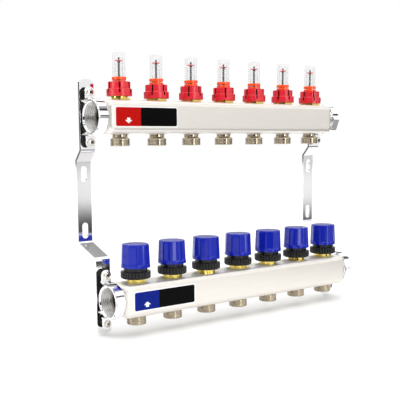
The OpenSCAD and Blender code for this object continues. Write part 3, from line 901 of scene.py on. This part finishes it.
def label_mesh(name, length, height, thick, tint, arrow_up):
    """A printed label: white edge, coloured field with an arrow, black field."""
    border, split, ink = 1.3, 33.8, 0.03
    back = field(rounded_outline(length, height, 2.7), 0, -thick + 2 * ink)
    inner = rounded_outline(length - 2 * border, height - 2 * border, 1.9)
    cut = -length / 2 + split
    left = [(min(x, cut), z) for x, z in inner]
    right = [(max(x, cut), z) for x, z in inner]
    arrow = [(-2, 3), (2, 3), (2, 0.5), (4.6, 0.5), (0, -3), (-4.6, 0.5), (-2, 0.5)]
    flip = -1 if arrow_up else 1
    centre_x, centre_z = -length / 2 + 17.7, -4.1
    mark = [(centre_x + x, centre_z + flip * z) for x, z in arrow]
    parts = [back, field(left, 0, -thick + ink), field(right, 0, -thick + ink), field(mark, 0, -thick)]
    mesh = solid(name, *joined(*parts))
    dressed(mesh, LABEL_WHITE, tint, LABEL_BLACK)
    for face in mesh.polygons:
        y, x = face.center.y / MM, face.center.x / MM
        if abs(y + thick - ink) < 0.005:
            face.material_index = 1 if x < cut else 2
    return mesh


def build_labels():
    for bar, tint, slot, up in (("supply", LABEL_RED, "label_red", False),
                                ("return", LABEL_BLUE, "label_blue", True)):
        low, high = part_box(f"label_{bar}")
        size = (high - low) / MM
        mesh = label_mesh(f"{bar}_label", size.x, size.z, size.y, tint, up)
        at = Vector(((low.x + high.x) / 2, high.y, (low.z + high.z) / 2))
        piece(f"{bar}_label", mesh, at, FIXED, [f"label_{bar}"])


# ---------------------------------------------------------------- camera, light and floor

# The camera's place, its turns in degrees, and its lens and sensor in millimetres
CAMERA_AT = Vector((-433.9, -764.2, 68.5)) * MM
YAW, PITCH, ROLL = 36.74, 7.355, -0.506
LENS, SENSOR, SHIFT_X, SHIFT_Y = 69.22, 36, 0.05, 0.10
# The floor's near edge and its reach, in metres from the origin
FLOOR_EDGE, FLOOR_REACH, FLOOR_DROP = 0.5, 6, 0.001
KEY_AT, KEY_TARGET, KEY_SIZE, KEY_POWER = (-0.5, -1.3, 1.9), (0.18, -0.03, 0.0), 1.3, 11

# Brightness of the studio's walls by degrees round from the camera, to the right of the view
AROUND = [(-180, 0.5), (-150, 0.5), (-118, 0.15), (-92, 0.2), (-82, 0.6), (-69, 0.6), (-65, 7), (-57, 7),
          (-53, 0.4), (-38, 0.2), (-28, 0.05), (20, 0.05), (29, 0.3), (33, 7), (41, 7), (45, 0.6),
          (58, 0.8), (70, 1.1), (101, 1.05), (110, 0.12), (140, 0.15), (160, 0.5), (180, 0.5)]
# Share of the walls' light, and the light overhead, by the sine of the height above the horizon
BY_HEIGHT = [(-1, 0.4), (-0.24, 0.4), (-0.17, 0.06), (-0.1, 0.06), (-0.075, 1), (-0.045, 1), (-0.028, 0.6),
             (-0.01, 1), (0.22, 1), (0.4, 0), (1, 0)]
OVERHEAD = [(-1, 0), (0.24, 0), (0.33, 1.7), (0.448, 1.7), (0.46, 0.03), (0.497, 0.03), (0.51, 1.7),
            (0.595, 1.7), (0.607, 0.03), (0.645, 0.03), (0.66, 0.4), (0.695, 0.55), (0.73, 1.9), (1, 1.9)]
# Strength of the whole studio, and a level above the highest of those three, because a ramp ends at 1
STUDIO_LEVEL = 0.9
BRIGHTEST = 8.0


def build_camera():
    yaw, pitch, roll = (math.radians(x) for x in (YAW, PITCH, ROLL))
    ahead = Vector((math.sin(yaw), math.cos(yaw), 0))
    right = Vector((math.cos(yaw), -math.sin(yaw), 0))
    up = Vector((0, 0, 1))
    look = ahead * math.cos(pitch) - up * math.sin(pitch)
    top = up * math.cos(pitch) + ahead * math.sin(pitch)
    x_axis = right * math.cos(roll) + top * math.sin(roll)
    y_axis = top * math.cos(roll) - right * math.sin(roll)
    axes = Matrix((x_axis, y_axis, -look)).transposed().to_4x4()
    data = bpy.data.cameras.new("camera")
    data.lens, data.sensor_width = LENS, SENSOR
    data.shift_x, data.shift_y = SHIFT_X, SHIFT_Y
    data.clip_start, data.clip_end = 0.01, 50
    camera = bpy.data.objects.new("camera", data)
    camera.matrix_world = Matrix.Translation(CAMERA_AT) @ axes
    bpy.context.scene.collection.objects.link(camera)
    bpy.context.scene.camera = camera


def build_key_light():
    data = bpy.data.lights.new("key", "AREA")
    data.shape = "RECTANGLE"
    data.size = data.size_y = KEY_SIZE
    data.energy = KEY_POWER
    light = bpy.data.objects.new("key", data)
    light.location = KEY_AT
    light.rotation_euler = (Vector(KEY_TARGET) - Vector(KEY_AT)).to_track_quat("-Z", "Y").to_euler()
    bpy.context.scene.collection.objects.link(light)


def build_floor():
    """A pale floor that stops short of where flat fronts would mirror it, so they mirror the studio."""
    mesh = bpy.data.meshes.new("floor")
    yaw = math.radians(YAW)
    off, along = Vector((math.sin(yaw), -math.cos(yaw), 0)), Vector((math.cos(yaw), math.sin(yaw), 0))
    up = Vector((0, 0, CAD_BOX[0].z - FLOOR_DROP))
    near, far = FLOOR_EDGE, -FLOOR_REACH
    outline = ((near, far), (near, -far), (far, -far), (far, far))
    corners = [off * a + along * b + up for a, b in outline]
    mesh.from_pydata(corners, [], [(0, 1, 2, 3)])
    material = finish("floor_white", (0.92, 0.92, 0.92), 0.8, 0, 0.005, 0.02, 40, bump=0.0)
    mesh.materials.append(material)
    floor = bpy.data.objects.new("floor", mesh)
    bpy.context.scene.collection.objects.link(floor)


def build_world():
    """White towards the camera; elsewhere a studio: soft boxes left and right, dark between them."""
    world = bpy.data.worlds.new("studio")
    bpy.context.scene.world = world
    world.use_nodes = True
    nodes, links = world.node_tree.nodes, world.node_tree.links
    calc = partial(maths, nodes, links)

    def ramp(factor, stops):
        node = nodes.new("ShaderNodeValToRGB")
        node.color_ramp.interpolation = "EASE"
        items = node.color_ramp.elements
        for k, (place, level) in enumerate(stops):
            item = items[k] if k < 2 else items.new(place)
            item.position = place
            item.color = (level / BRIGHTEST, level / BRIGHTEST, level / BRIGHTEST, 1)
        links.new(factor, node.inputs["Fac"])
        return node.outputs["Color"]

    coords = nodes.new("ShaderNodeTexCoord")
    split = nodes.new("ShaderNodeSeparateXYZ")
    links.new(coords.outputs["Generated"], split.inputs[0])
    x, y, z = split.outputs
    yaw = math.radians(YAW)
    ahead = calc("ADD", calc("MULTIPLY", x, math.sin(yaw)), calc("MULTIPLY", y, math.cos(yaw)))
    side = calc("SUBTRACT", calc("MULTIPLY", x, math.cos(yaw)), calc("MULTIPLY", y, math.sin(yaw)))
    # 0.5 is the way back from the object to the camera, and the right of the view lies above it
    bearing = calc("ARCTAN2", side, calc("MULTIPLY", ahead, -1))
    round_about = calc("ADD", calc("DIVIDE", bearing, 2 * math.pi), 0.5)
    level = ramp(round_about, [(around / 360 + 0.5, b) for around, b in AROUND])
    half_up = calc("ADD", calc("MULTIPLY", z, 0.5), 0.5)
    low_part = ramp(half_up, [(h * 0.5 + 0.5, b) for h, b in BY_HEIGHT])
    high_part = ramp(half_up, [(h * 0.5 + 0.5, b) for h, b in OVERHEAD])
    # walls by direction round the object, dimmed by height, plus the light overhead
    walls = calc("MULTIPLY", calc("MULTIPLY", level, low_part), BRIGHTEST)
    studio = nodes.new("ShaderNodeBackground")
    links.new(calc("ADD", walls, high_part), studio.inputs["Color"])
    studio.inputs["Strength"].default_value = STUDIO_LEVEL * BRIGHTEST
    back = nodes["Background"]
    back.inputs["Color"].default_value = (1, 1, 1, 1)
    path = nodes.new("ShaderNodeLightPath")
    mix = nodes.new("ShaderNodeMixShader")
    links.new(path.outputs["Is Camera Ray"], mix.inputs[0])
    links.new(studio.outputs[0], mix.inputs[1])
    links.new(back.outputs[0], mix.inputs[2])
    links.new(mix.outputs[0], nodes["World Output"].inputs["Surface"])


def build_stage():
    build_floor()
    build_world()
    build_key_light()
    bpy.context.scene.view_settings.view_transform = "Standard"


build_bars()
build_sockets()
build_outlets()
build_flowmeters()
build_valves()
build_screws()
build_brackets()
build_labels()
build_camera()
build_stage()
